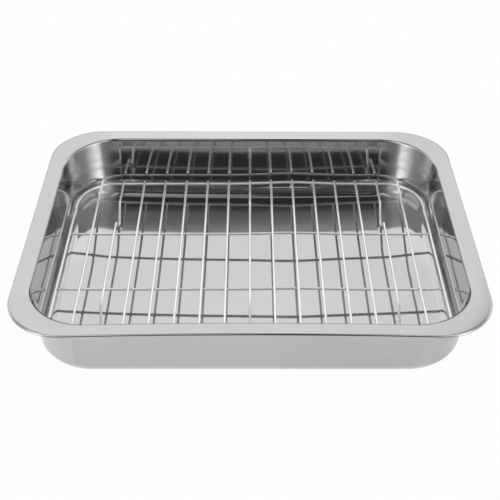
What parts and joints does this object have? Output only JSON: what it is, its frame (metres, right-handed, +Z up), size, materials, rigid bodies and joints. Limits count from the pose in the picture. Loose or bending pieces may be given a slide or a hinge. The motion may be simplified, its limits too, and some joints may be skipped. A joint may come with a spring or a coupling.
{
  "type": "sheet pan with rack",
  "caption": "Deep rectangular pressed-steel baking pan with a wide flat rim and rounded corners, and a loose welded wire rack standing inside on bent feet",
  "frame": {"origin": "middle of the pan's underside, on the surface it stands on", "axes": "+X along the pan's long side, +Y away from the viewer of the picture, +Z up"},
  "size_m": [0.318, 0.254, 0.051],
  "materials": {
    "pan_steel": "polished",
    "wire_steel": "polished"
  },
  "bodies": {
    "pan": {"pan": "pan_steel"},
    "rack": {"rack_frame": "wire_steel", "cross_wire_back": "wire_steel", "cross_wire_front": "wire_steel", "rod_01": "wire_steel", "leg_rod_02": "wire_steel", "rod_03": "wire_steel", "rod_04": "wire_steel", "rod_05": "wire_steel", "rod_06": "wire_steel", "rod_07": "wire_steel", "leg_rod_08": "wire_steel", "rod_09": "wire_steel", "rod_10": "wire_steel", "rod_11": "wire_steel", "rod_12": "wire_steel", "rod_13": "wire_steel", "leg_rod_14": "wire_steel", "rod_15": "wire_steel"}
  },
  "joints": [
    {"name": "rack_lift", "type": "slide", "parent": "pan", "child": "rack", "axis": [0, 0, 1], "range_m": [0, 0.09]}
  ]
}
